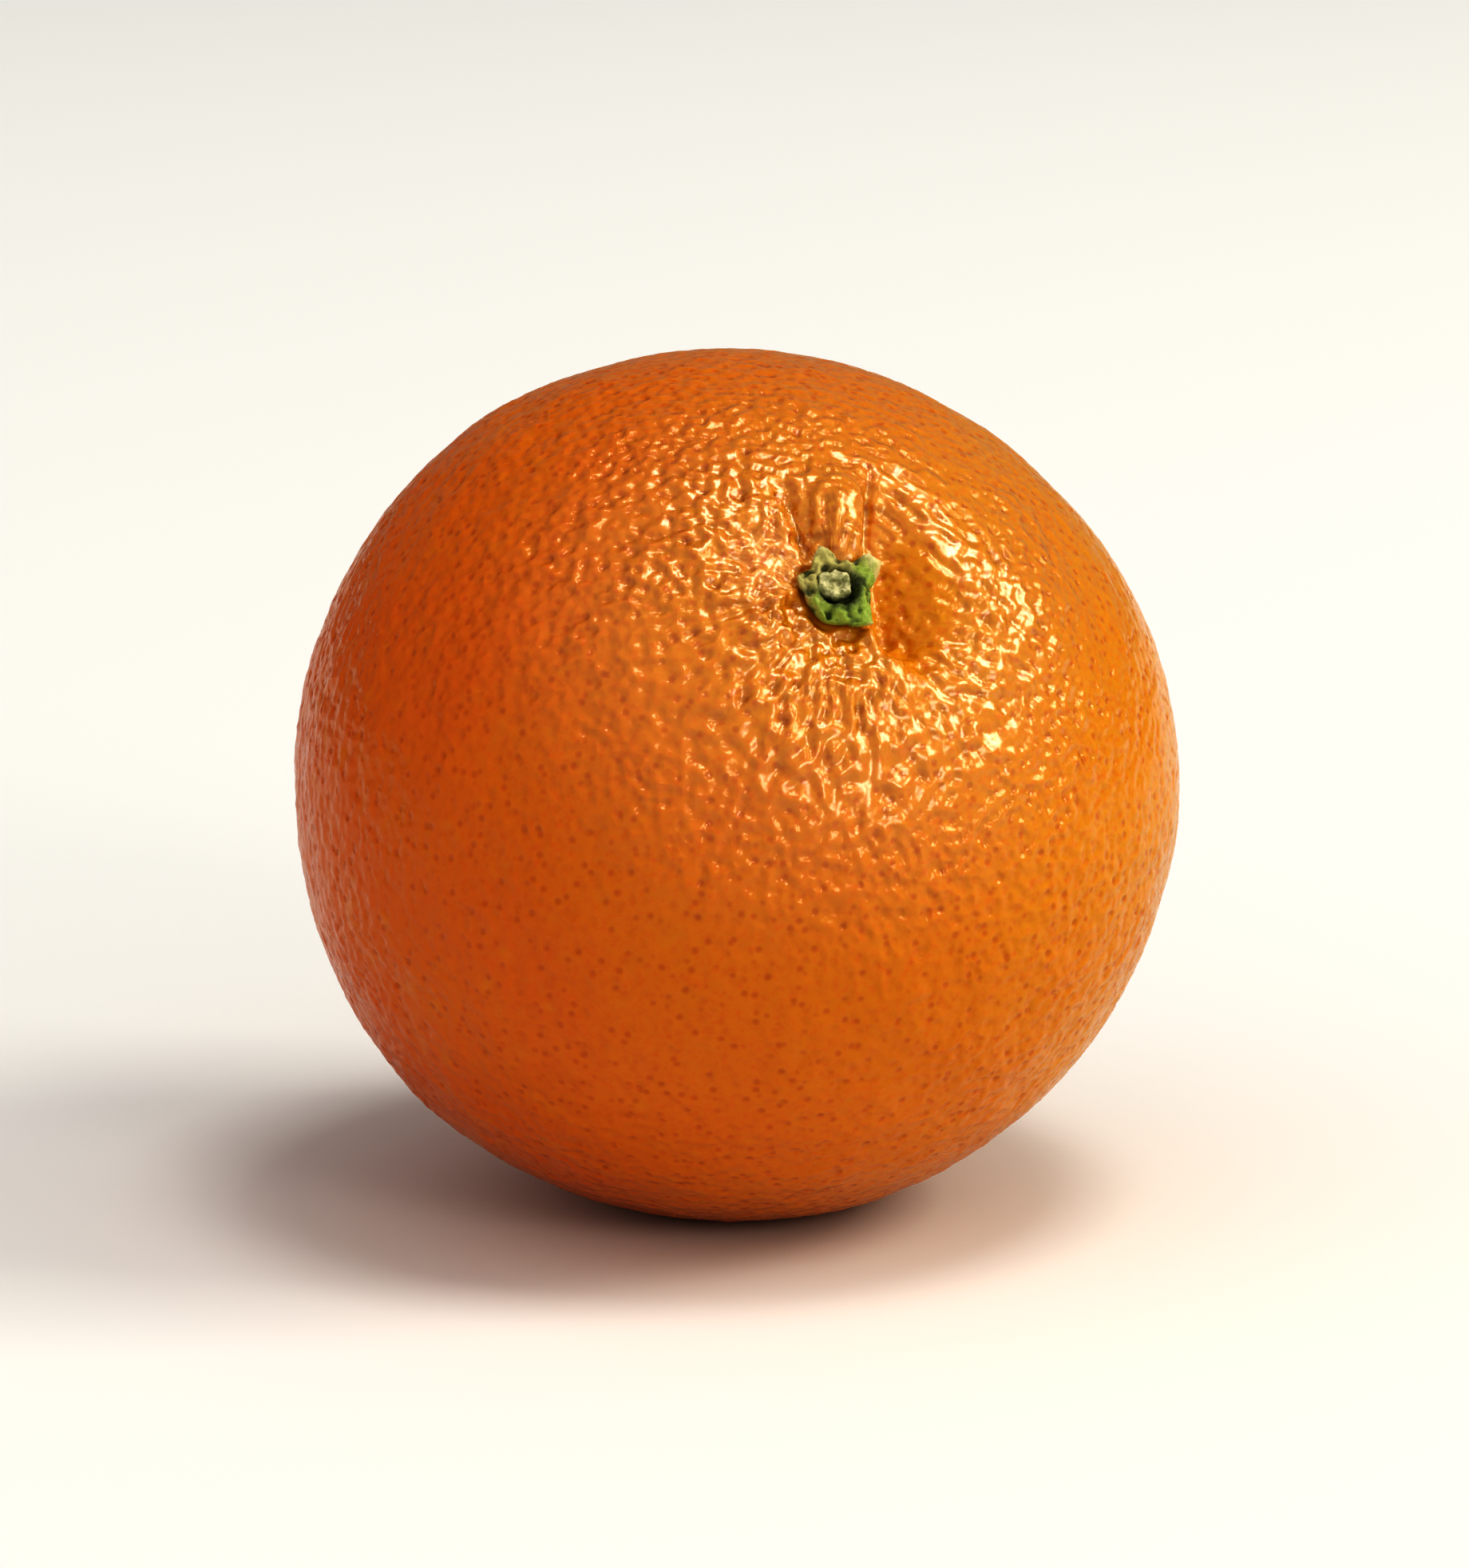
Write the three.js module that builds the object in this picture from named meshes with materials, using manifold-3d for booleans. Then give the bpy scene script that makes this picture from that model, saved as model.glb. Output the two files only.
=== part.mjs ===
// A fresh orange, as picked, resting on a small flat spot with its stem end turned up and to the front.
// Millimetres, +Z up, front towards -Y. The origin is the middle of the footprint, on the surface below.

import * as THREE from 'three';
import { mergeVertices } from 'three/addons/utils/BufferGeometryUtils.js';
import Module from 'manifold-3d';

const wasm = await Module();
wasm.setup();

// ---------------------------------------------------------------------------------------------------
// Driving dimensions
// ---------------------------------------------------------------------------------------------------

const EQUATOR_RADIUS = 40; // across the fruit, square to its stem axis
const POLAR_RADIUS = 38.2; // from the middle to either end of the stem axis, before the basin is sunk
const REST_SPOT_RADIUS = 7; // the small flat that the fruit stands on
const STEM_AXIS = new THREE.Vector3(0.24, -0.744, 0.624).normalize(); // where the stem end points

const BASIN_DEPTH = 2.6; // how far the stem seat lies below the rounded end
const BASIN_REACH = 8.2; // how far from the stem axis the basin's wall has mostly risen
const BASIN_STRETCH = 2.4; // how much further it reaches on its wide side, and less on the other
const BASIN_WIDE_SIDE = -12; // bearing of the wide side
const BASIN_LEAN_REACH = 6; // the basin is even at the axis and has its full lean from here out

const BLOSSOM_SCAR_DEPTH = 0.6; // the little pit where the flower was
const BLOSSOM_SCAR_RADIUS = 1.8;
const BLOSSOM_FLAT_DEPTH = 0.5; // the broad flattening round it
const BLOSSOM_FLAT_RADIUS = 11;

const CALYX_THICKNESS = 2.0; // at the crown round the stub
const SEPAL_THICKNESS = 0.7; // out at the sepals
const CALYX_CROWN_RADIUS = 2.0; // where the calyx starts to thin
const CALYX_THIN_RADIUS = 3.8; // where it is as thin as a sepal
const SEPAL_HALF_ANGLE = 26; // half the angle that one sepal takes up, in degrees
const SEPAL_CURL_START = 2.6; // from here out the sepals curl up off the peel
const SEPAL_CURL_HALF_ANGLE = 20; // how wide the curled part of a sepal is, in degrees each way
const RIM_ROUNDNESS = 0.45; // 1 makes a rim as round as a ball's, towards 0 it is squared off
const SEAT_WALL = 0.66; // width of the sloping wall of the stub's seat, out to the notches between the sepals

const STUB_RADIUS = 1.5; // the cut end of the stem
const STUB_HEIGHT = 1.2;
const STUB_OFFSET = [-0.45, 0.45]; // the stub grew a little off the middle of the calyx
const STUB_SEAT_DEPTH = 1.2; // how deep the hollow is that the stub stands in

const PIECE_GAP = 0.3; // clearance between pieces that sit on each other

// Places near the stem are [across, back] millimetres over the peel from the stem axis: across is towards
// the fruit's right-hand side, back is towards its top and back. Bearings are degrees from across to back.
// They are measured on a ball of the polar radius, so a wider fruit leaves the calyx as it is.

// Creases that run outwards from the calyx.
const CREASES = [
  { from: [3.1, 3.4], to: [3.4, 13.8], depth: 1.1, halfWidth: 0.45 },
  { from: [-2.4, 3.5], to: [-5, 11], depth: 1.5, halfWidth: 1 },
  { from: [4.6, -2.4], to: [8, -7.8], depth: 1, halfWidth: 1.9 },
  { from: [-2.6, -3.6], to: [-5.4, -8.2], depth: 0.8, halfWidth: 1.1 },
  { from: [0.6, -4], to: [1.6, -8.4], depth: 0.5, halfWidth: 0.8 },
  { from: [-4, 1], to: [-10.5, 2], depth: 0.4, halfWidth: 1.2 },
];

// Folds whose two sides differ: the one between the upper creases, the trough along the basin's wide side
// (a fold of negative rise), and the lip in front of it. Left and right are seen along the way it runs.
const FOLDS = [
  { from: [0.3, 3], to: [0.1, 13.4], rise: 1.6, leftWidth: 2.3, rightWidth: 2.5 },
  { from: [5.4, -5.4], to: [3.2, 14], rise: -2.4, leftWidth: 1.1, rightWidth: 4.7 },
  { from: [8.4, -8.6], to: [2.4, -3.2], rise: 1.2, leftWidth: 2.8, rightWidth: 1 },
];

// Swellings round the basin, the big shoulder first.
const SWELLINGS = [
  { at: [14.5, 3.2], rise: 1.3, spread: 7.5 },
  { at: [-5, 7.5], rise: 0.5, spread: 3.2 },
  { at: [-7, -3], rise: 0.4, spread: 3.5 },
  { at: [1, -8.5], rise: 0.4, spread: 3 },
];

// How creases and folds fade in at their start, and out from a share of their length to past their end.
const FADE_IN_FROM = -1;
const FADE_IN_TO = 3;
const FADE_OUT_SHARE = 0.6;
const FADE_OUT_PAST_END = 1;

// Where the whole body is a little fuller or flatter than an even round: direction, height and half-angle.
const BODY_LUMPS = [
  { towards: [-0.72, -0.1, -0.69], rise: 0.8, halfAngle: 24 },
  { towards: [0.97, -0.1, 0.2], rise: 0.7, halfAngle: 26 },
  { towards: [-0.62, 0.1, 0.78], rise: 0.5, halfAngle: 20 },
  { towards: [0.35, 0.9, -0.2], rise: 0.5, halfAngle: 34 },
  { towards: [-0.5, 0.8, 0.3], rise: -0.4, halfAngle: 28 },
];

// The five sepals of the calyx: bearing, how far each tip reaches past the notches, and how far it curls up.
const SEPALS = [
  { bearing: 44, length: 2.9, curl: 1.6 },
  { bearing: 116, length: 1.2, curl: 1.2 },
  { bearing: 165, length: 0.8, curl: 0.5 },
  { bearing: 246, length: 0.2, curl: 0.4 },
  { bearing: 314, length: 1.2, curl: 1.2 },
];
const LEAST_CURL = 0.2; // how far the rim lies off the peel between the sepals

// How finely each piece is faceted.
const FRUIT_FACETS = { around: 76, fromEndToEnd: 56 };
const FRUIT_FACETS_NEARER_STEM = 0.68; // 0 spaces the rings evenly, towards 1 they crowd round the stem
const CALYX_FACETS = { around: 60, fromEndToEnd: 16 };
const STUB_FACETS = { around: 24, fromEndToEnd: 10 };

// ---------------------------------------------------------------------------------------------------
// The shape of the peel
// ---------------------------------------------------------------------------------------------------

const RIGHT = new THREE.Vector3(1, 0, 0);
const ACROSS = RIGHT.clone().addScaledVector(STEM_AXIS, -RIGHT.dot(STEM_AXIS)).normalize();
const BACK = new THREE.Vector3().crossVectors(STEM_AXIS, ACROSS);

const radians = THREE.MathUtils.degToRad;
const bell = (x) => Math.exp(-x * x);
const ramp = THREE.MathUtils.smoothstep; // ramp(x, from, to) rises smoothly from 0 to 1

// The unit direction of the point that lies (u, v) millimetres over the peel from the stem axis.
function directionAt(u, v) {
  const tilt = Math.hypot(u, v) / POLAR_RADIUS;
  const bearing = Math.atan2(v, u);
  return new THREE.Vector3()
    .addScaledVector(STEM_AXIS, Math.cos(tilt))
    .addScaledVector(ACROSS, Math.sin(tilt) * Math.cos(bearing))
    .addScaledVector(BACK, Math.sin(tilt) * Math.sin(bearing));
}

// How far (u, v) lies to the left of a run, and a share that fades out past the run's ends.
function besideRun(u, v, run) {
  const [startU, startV] = run.from;
  const length = Math.hypot(run.to[0] - startU, run.to[1] - startV);
  const alongU = (run.to[0] - startU) / length;
  const alongV = (run.to[1] - startV) / length;
  const along = (u - startU) * alongU + (v - startV) * alongV;
  const aside = (v - startV) * alongU - (u - startU) * alongV;
  const fadeIn = ramp(along, FADE_IN_FROM, FADE_IN_TO);
  const fadeOut = 1 - ramp(along, FADE_OUT_SHARE * length, length + FADE_OUT_PAST_END);
  return { aside, share: fadeIn * fadeOut };
}

function creaseDepth(u, v, crease) {
  const { aside, share } = besideRun(u, v, crease);
  return crease.depth * share * bell(aside / crease.halfWidth);
}

function foldRise(u, v, fold) {
  const { aside, share } = besideRun(u, v, fold);
  return fold.rise * share * bell(aside / (aside > 0 ? fold.leftWidth : fold.rightWidth));
}

function swellingRise(u, v, swelling) {
  return swelling.rise * bell(Math.hypot(u - swelling.at[0], v - swelling.at[1]) / swelling.spread);
}

function lumpRise(direction, lump) {
  const angle = direction.angleTo(new THREE.Vector3(...lump.towards));
  return lump.rise * bell(angle / radians(lump.halfAngle));
}

// Distance from the fruit's middle to the peel along a unit direction.
function peelRadius(direction) {
  const alongStem = direction.dot(STEM_AXIS);
  const tilt = direction.angleTo(STEM_AXIS);
  const bearing = Math.atan2(direction.dot(BACK), direction.dot(ACROSS));
  const distance = tilt * POLAR_RADIUS;
  const distanceFromBlossom = (Math.PI - tilt) * POLAR_RADIUS;
  const u = distance * Math.cos(bearing);
  const v = distance * Math.sin(bearing);

  let radius = 1 / Math.hypot(Math.sin(tilt) / EQUATOR_RADIUS, alongStem / POLAR_RADIUS);
  for (const lump of BODY_LUMPS) {
    radius += lumpRise(direction, lump);
  }
  for (const crease of CREASES) {
    radius -= creaseDepth(u, v, crease);
  }
  for (const fold of FOLDS) {
    radius += foldRise(u, v, fold);
  }
  for (const swelling of SWELLINGS) {
    radius += swellingRise(u, v, swelling);
  }
  const lean = Math.cos(bearing - radians(BASIN_WIDE_SIDE)) * ramp(distance, 0, BASIN_LEAN_REACH);
  radius -= BASIN_DEPTH * bell(distance / (BASIN_REACH + BASIN_STRETCH * lean));
  radius -= BLOSSOM_FLAT_DEPTH * bell(distanceFromBlossom / BLOSSOM_FLAT_RADIUS);
  radius -= BLOSSOM_SCAR_DEPTH * bell(distanceFromBlossom / BLOSSOM_SCAR_RADIUS);
  return radius;
}

// The point at a height over the peel, (u, v) millimetres from the stem axis.
function pointOverPeel(u, v, height) {
  const direction = directionAt(u, v);
  return direction.multiplyScalar(peelRadius(direction) + height);
}

// ---------------------------------------------------------------------------------------------------
// Making the pieces
// ---------------------------------------------------------------------------------------------------

// A closed unit ball with shared corners, whose poles are on Z and whose every corner goes through place().
function shapedBall(facets, place) {
  const ball = new THREE.SphereGeometry(1, facets.around, facets.fromEndToEnd);
  ball.rotateX(Math.PI / 2);
  ball.deleteAttribute('normal');
  ball.deleteAttribute('uv');
  const geometry = mergeVertices(ball);
  const corners = geometry.attributes.position;
  const corner = new THREE.Vector3();
  for (let i = 0; i < corners.count; i += 1) {
    corner.fromBufferAttribute(corners, i);
    const placed = place(corner);
    corners.setXYZ(i, placed.x, placed.y, placed.z);
  }
  return geometry;
}

function solidFrom(geometry) {
  const vertProperties = new Float32Array(geometry.attributes.position.array);
  const triVerts = new Uint32Array(geometry.index.array);
  return new wasm.Manifold(new wasm.Mesh({ numProp: 3, vertProperties, triVerts }));
}

function geometryFrom(solid) {
  const mesh = solid.getMesh();
  const geometry = new THREE.BufferGeometry();
  geometry.setAttribute('position', new THREE.BufferAttribute(mesh.vertProperties, 3));
  geometry.setIndex(new THREE.BufferAttribute(mesh.triVerts, 1));
  return geometry;
}

// How far the fruit's middle stands above the surface, so that the flat spot has its radius.
const restDepth = Math.sqrt(peelRadius(new THREE.Vector3(0, 0, -1)) ** 2 - REST_SPOT_RADIUS ** 2);

function fruitGeometry() {
  const round = shapedBall(FRUIT_FACETS, (corner) => {
    const evenTilt = Math.acos(THREE.MathUtils.clamp(corner.z, -1, 1));
    const tilt = evenTilt - FRUIT_FACETS_NEARER_STEM * Math.sin(evenTilt);
    const bearing = Math.atan2(corner.y, corner.x);
    const distance = tilt * POLAR_RADIUS;
    return pointOverPeel(distance * Math.cos(bearing), distance * Math.sin(bearing), 0);
  });
  const blockSize = 4 * EQUATOR_RADIUS;
  const floorBlock = new THREE.BoxGeometry(blockSize, blockSize, blockSize);
  floorBlock.translate(0, 0, -restDepth - blockSize / 2);
  floorBlock.deleteAttribute('normal');
  floorBlock.deleteAttribute('uv');
  return geometryFrom(solidFrom(round).subtract(solidFrom(mergeVertices(floorBlock))));
}

// The angle between a bearing and a sepal's, in radians.
function offSepal(bearing, sepal) {
  const turn = bearing - radians(sepal.bearing);
  return Math.abs(Math.atan2(Math.sin(turn), Math.cos(turn)));
}

const stubSeatRadius = Math.hypot(...STUB_OFFSET) + STUB_RADIUS + PIECE_GAP;
const notchRadius = stubSeatRadius + SEAT_WALL;
const tipRadius = notchRadius + Math.max(...SEPALS.map((sepal) => sepal.length));

// How far the calyx reaches from the stem axis at a bearing: out to a tip on a sepal, in to a notch between.
function calyxReach(bearing) {
  let reach = notchRadius;
  for (const sepal of SEPALS) {
    const taper = Math.max(0, 1 - offSepal(bearing, sepal) / radians(SEPAL_HALF_ANGLE));
    reach = Math.max(reach, notchRadius + sepal.length * taper);
  }
  return reach;
}

function calyxCurl(bearing) {
  let curl = LEAST_CURL;
  for (const sepal of SEPALS) {
    curl = Math.max(curl, sepal.curl * bell(offSepal(bearing, sepal) / radians(SEPAL_CURL_HALF_ANGLE)));
  }
  return curl;
}

// The calyx lies on the peel: its underside follows it, it thins outwards, and its middle is hollowed.
function calyxGeometry() {
  return shapedBall(CALYX_FACETS, (corner) => {
    const bearing = Math.atan2(corner.y, corner.x);
    const distance = Math.hypot(corner.x, corner.y) * calyxReach(bearing);
    const thinning = ramp(distance, CALYX_CROWN_RADIUS, CALYX_THIN_RADIUS);
    const thickness = THREE.MathUtils.lerp(CALYX_THICKNESS, SEPAL_THICKNESS, thinning);
    const fullness = Math.sign(corner.z) * Math.abs(corner.z) ** RIM_ROUNDNESS;
    let height = PIECE_GAP + (thickness / 2) * (1 + fullness);
    height += calyxCurl(bearing) * ramp(distance, SEPAL_CURL_START, tipRadius);
    if (corner.z > 0) {
      height -= STUB_SEAT_DEPTH * (1 - ramp(distance, stubSeatRadius, notchRadius));
    }
    return pointOverPeel(distance * Math.cos(bearing), distance * Math.sin(bearing), height);
  });
}

function stubGeometry() {
  const footHeight = PIECE_GAP + CALYX_THICKNESS - STUB_SEAT_DEPTH + PIECE_GAP;
  return shapedBall(STUB_FACETS, (corner) => {
    const fullness = Math.sign(corner.z) * Math.abs(corner.z) ** RIM_ROUNDNESS;
    const height = footHeight + (STUB_HEIGHT / 2) * (1 + fullness);
    return pointOverPeel(
      STUB_OFFSET[0] + STUB_RADIUS * corner.x,
      STUB_OFFSET[1] + STUB_RADIUS * corner.y,
      height,
    );
  });
}

// ---------------------------------------------------------------------------------------------------
// The orange
// ---------------------------------------------------------------------------------------------------

function piece(name, geometry, look) {
  const mesh = new THREE.Mesh(geometry, new THREE.MeshStandardMaterial(look));
  mesh.name = name;
  return mesh;
}

const fruit = piece('fruit', fruitGeometry(), { color: 0xe8760a, roughness: 0.45, metalness: 0 });
const calyx = piece('calyx', calyxGeometry(), { color: 0x6f8f3c, roughness: 0.7, metalness: 0 });
const stemStub = piece('stem_stub', stubGeometry(), { color: 0xcbbf8c, roughness: 0.85, metalness: 0 });

const orange = new THREE.Group();
orange.add(fruit, calyx, stemStub);

// Stand it on the surface, with the middle of its footprint at the origin.
fruit.geometry.computeBoundingBox();
const box = fruit.geometry.boundingBox;
orange.position.set(-(box.min.x + box.max.x) / 2, -(box.min.y + box.max.y) / 2, restDepth);

export default orange;
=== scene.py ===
# A fresh orange at rest on its flat spot, with its green calyx and the corky end of its cut stem.
import math

import bmesh
import bpy
import numpy as np
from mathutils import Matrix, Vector, noise


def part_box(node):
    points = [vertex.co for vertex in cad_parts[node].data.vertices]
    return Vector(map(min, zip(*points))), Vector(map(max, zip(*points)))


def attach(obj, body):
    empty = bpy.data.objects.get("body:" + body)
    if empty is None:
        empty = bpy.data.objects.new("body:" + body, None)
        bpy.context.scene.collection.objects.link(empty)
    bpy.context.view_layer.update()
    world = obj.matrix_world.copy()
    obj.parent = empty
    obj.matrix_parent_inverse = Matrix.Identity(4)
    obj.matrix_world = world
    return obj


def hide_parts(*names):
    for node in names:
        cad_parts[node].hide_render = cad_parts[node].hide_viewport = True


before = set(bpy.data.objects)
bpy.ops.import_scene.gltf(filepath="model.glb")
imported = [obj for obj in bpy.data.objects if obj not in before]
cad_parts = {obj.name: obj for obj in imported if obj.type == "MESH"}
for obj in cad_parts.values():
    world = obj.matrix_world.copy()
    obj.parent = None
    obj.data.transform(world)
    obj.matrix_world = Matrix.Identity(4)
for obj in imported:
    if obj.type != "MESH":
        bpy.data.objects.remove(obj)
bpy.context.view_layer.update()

MM = 0.001  # one millimetre in metres: shapes are worked out in millimetres and placed in metres

# ---------------------------------------------------------------------------------------------------
# Sizes of the fruit, the same as those of the solid model
# ---------------------------------------------------------------------------------------------------

EQUATOR_RADIUS = 40.0  # across the fruit, square to its stem axis
POLAR_RADIUS = 38.2  # from the middle to either end of the stem axis, before the basin is sunk
REST_SPOT_RADIUS = 7.0
STEM_AXIS = np.array(Vector((0.240, -0.744, 0.624)).normalized())  # where the stem end points

BASIN_DEPTH = 2.6
BASIN_REACH = 8.2
BASIN_STRETCH = 2.4  # how much further the basin reaches on its wide side, and less on the other
BASIN_WIDE_SIDE = -12  # bearing of the wide side, in degrees from across to back
BASIN_LEAN_REACH = 6  # the basin is even at the axis and has its full lean from here out

BLOSSOM_SCAR_DEPTH = 0.6
BLOSSOM_SCAR_RADIUS = 1.8
BLOSSOM_FLAT_DEPTH = 0.5
BLOSSOM_FLAT_RADIUS = 11

# Places near the stem are (across, back) millimetres from the stem axis, measured over a ball of the polar
# radius: across is towards the fruit's right-hand side, back is towards its top and back.

# Creases round the calyx: from, to, depth, half width.
CREASES = (
    ((3.1, 3.4), (3.4, 13.8), 1.1, 0.45),
    ((-2.4, 3.5), (-5.0, 11.0), 1.5, 1.0),
    ((4.6, -2.4), (8.0, -7.8), 1.0, 1.9),
    ((-2.6, -3.6), (-5.4, -8.2), 0.8, 1.1),
    ((0.6, -4.0), (1.6, -8.4), 0.5, 0.8),
    ((-4.0, 1.0), (-10.5, 2.0), 0.4, 1.2),
)

# Folds whose two sides differ: from, to, rise (below 0 it is a trough), and the widths to the left and to
# the right of the way it runs.
FOLDS = (
    ((0.3, 3.0), (0.1, 13.4), 1.6, 2.3, 2.5),
    ((5.4, -5.4), (3.2, 14.0), -2.4, 1.1, 4.7),
    ((8.4, -8.6), (2.4, -3.2), 1.2, 2.8, 1.0),
)

# Creases and folds fade in at their start, and out from a share of their length to past their end.
FADE_IN_FROM = -1.0
FADE_IN_TO = 3.0
FADE_OUT_SHARE = 0.6
FADE_OUT_PAST_END = 1.0

# Swellings round the basin: middle, rise, spread.
SWELLINGS = (
    ((14.5, 3.2), 1.3, 7.5),
    ((-5.0, 7.5), 0.5, 3.2),
    ((-7.0, -3.0), 0.4, 3.5),
    ((1.0, -8.5), 0.4, 3.0),
)

# Where the whole body is a little fuller or flatter than an even round: direction, rise, half-angle.
BODY_LUMPS = (
    ((-0.72, -0.1, -0.69), 0.8, 24),
    ((0.97, -0.1, 0.2), 0.7, 26),
    ((-0.62, 0.1, 0.78), 0.5, 20),
    ((0.35, 0.9, -0.2), 0.5, 34),
    ((-0.5, 0.8, 0.3), -0.4, 28),
)

# Sepals of the calyx: bearing, how far each tip reaches past the notches, and how far it curls up.
SEPALS = ((44, 2.9, 1.6), (116, 1.2, 1.2), (165, 0.8, 0.5), (246, 0.2, 0.4), (314, 1.2, 1.2))
SEPAL_HALF_ANGLE = 26
SEPAL_CURL_HALF_ANGLE = 20
SEPAL_CURL_START = 2.6  # the sepals curl up off the peel from here out
SEPAL_CURL_FULL = 5.0
LEAST_CURL = 0.2  # how much the rim curls up between the sepals
CALYX_CLEARANCE = 0.1
CALYX_RIM = 0.7  # thickness at the sepals
CALYX_THICKNESS = 2.0
CALYX_CROWN_RADIUS = 2.0  # where the calyx starts to thin
CALYX_THIN_RADIUS = 4.1  # where it is as thin as at the sepals
CALYX_RIM_ROUNDNESS = 0.45  # 1 makes a rim as round as a ball's, towards 0 it is squared off
HOLLOW_MIDDLE = (-0.2, 0.2)  # across and back
HOLLOW_DEPTH = 1.2
HOLLOW_FLOOR_RADIUS = 1.2
HOLLOW_RADIUS = 2.2
STUB_ACROSS = -0.45
STUB_BACK = 0.45
STUB_RADIUS = 1.5
STUB_HEIGHT = 1.2
STUB_FOOT = 0.9  # height of its foot over the peel
STUB_RIM_ROUNDNESS = 0.5
STUB_RAGGEDNESS = 0.32  # how much its outline strays, as a share of its radius
STUB_DIMPLE = 0.35  # depth of the dimple in its middle
STUB_DIMPLE_SHARE = 0.35  # half width of the dimple, as a share of the stub's radius
STUB_CLEARANCE = 0.3
SEAT_WALL = 0.66  # width of the sloping wall of the stub's seat, out to the notches between the sepals
CALYX_NOTCH_RADIUS = math.hypot(STUB_ACROSS, STUB_BACK) + STUB_RADIUS + STUB_CLEARANCE + SEAT_WALL

# ---------------------------------------------------------------------------------------------------
# The shape of the peel
# ---------------------------------------------------------------------------------------------------

RIGHT = np.array((1.0, 0.0, 0.0))
ACROSS = RIGHT - RIGHT.dot(STEM_AXIS) * STEM_AXIS
ACROSS /= np.linalg.norm(ACROSS)
BACK = np.cross(STEM_AXIS, ACROSS)


def bell(x):
    return np.exp(-x * x)


def rise(x, low, high):
    """A smooth climb from 0 at low to 1 at high."""
    share = np.clip((x - low) / (high - low), 0, 1)
    return share * share * (3 - 2 * share)


def direction_at(u, v):
    """Unit directions of the points (u, v) millimetres over the peel from the stem axis."""
    tilt = np.hypot(u, v)[..., None] / POLAR_RADIUS
    bearing = np.arctan2(v, u)[..., None]
    outwards = np.cos(bearing) * ACROSS + np.sin(bearing) * BACK
    return np.cos(tilt) * STEM_AXIS + np.sin(tilt) * outwards


def beside_line(u, v, start, end):
    """How far points lie to the left of a line, and a share that fades out past the line's ends."""
    run = np.array(end) - np.array(start)
    length = np.hypot(*run)
    run = run / length
    along = (u - start[0]) * run[0] + (v - start[1]) * run[1]
    aside = (v - start[1]) * run[0] - (u - start[0]) * run[1]
    fade_in = rise(along, FADE_IN_FROM, FADE_IN_TO)
    fade_out = rise(along, FADE_OUT_SHARE * length, length + FADE_OUT_PAST_END)
    return aside, fade_in * (1 - fade_out)


def body_radius(directions):
    """Distances from the fruit's middle to the peel along unit directions."""
    along_stem = np.clip(directions @ STEM_AXIS, -1, 1)
    tilt = np.arccos(along_stem)
    bearing = np.arctan2(directions @ BACK, directions @ ACROSS)
    distance = tilt * POLAR_RADIUS
    from_blossom = (math.pi - tilt) * POLAR_RADIUS
    u = distance * np.cos(bearing)
    v = distance * np.sin(bearing)

    radius = 1 / np.hypot(np.sin(tilt) / EQUATOR_RADIUS, along_stem / POLAR_RADIUS)
    for towards, height, half_angle in BODY_LUMPS:
        middle = np.array(Vector(towards).normalized())
        angle = np.degrees(np.arccos(np.clip(directions @ middle, -1, 1)))
        radius += height * bell(angle / half_angle)
    for start, end, depth, half_width in CREASES:
        aside, fade = beside_line(u, v, start, end)
        radius -= depth * fade * bell(aside / half_width)
    for start, end, height, left_width, right_width in FOLDS:
        aside, fade = beside_line(u, v, start, end)
        radius += height * fade * bell(aside / np.where(aside > 0, left_width, right_width))
    for spot, height, spread in SWELLINGS:
        radius += height * bell(np.hypot(u - spot[0], v - spot[1]) / spread)
    lean = np.cos(bearing - math.radians(BASIN_WIDE_SIDE)) * rise(distance, 0, BASIN_LEAN_REACH)
    radius -= BASIN_DEPTH * bell(distance / (BASIN_REACH + BASIN_STRETCH * lean))
    radius -= BLOSSOM_FLAT_DEPTH * bell(from_blossom / BLOSSOM_FLAT_RADIUS)
    radius -= BLOSSOM_SCAR_DEPTH * bell(from_blossom / BLOSSOM_SCAR_RADIUS)
    return radius


# How far the fruit's middle stands above the surface, so that the flat spot has its radius.
rest_depth = math.sqrt(body_radius(np.array(((0, 0, -1.0),)))[0] ** 2 - REST_SPOT_RADIUS ** 2)


def over_peel(u, v, height):
    """Points at a height over the peel, from the fruit's middle, in millimetres."""
    directions = direction_at(u, v)
    return directions * (body_radius(directions) + height)[..., None]


# ---------------------------------------------------------------------------------------------------
# Wiring for node trees: the same recipes serve the mesh and the materials
# ---------------------------------------------------------------------------------------------------


MIX_COLOUR_A = 6  # the mix node has sockets of the same name for each kind of value
MIX_COLOUR_B = 7
MIX_COLOUR_RESULT = 2


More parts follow.
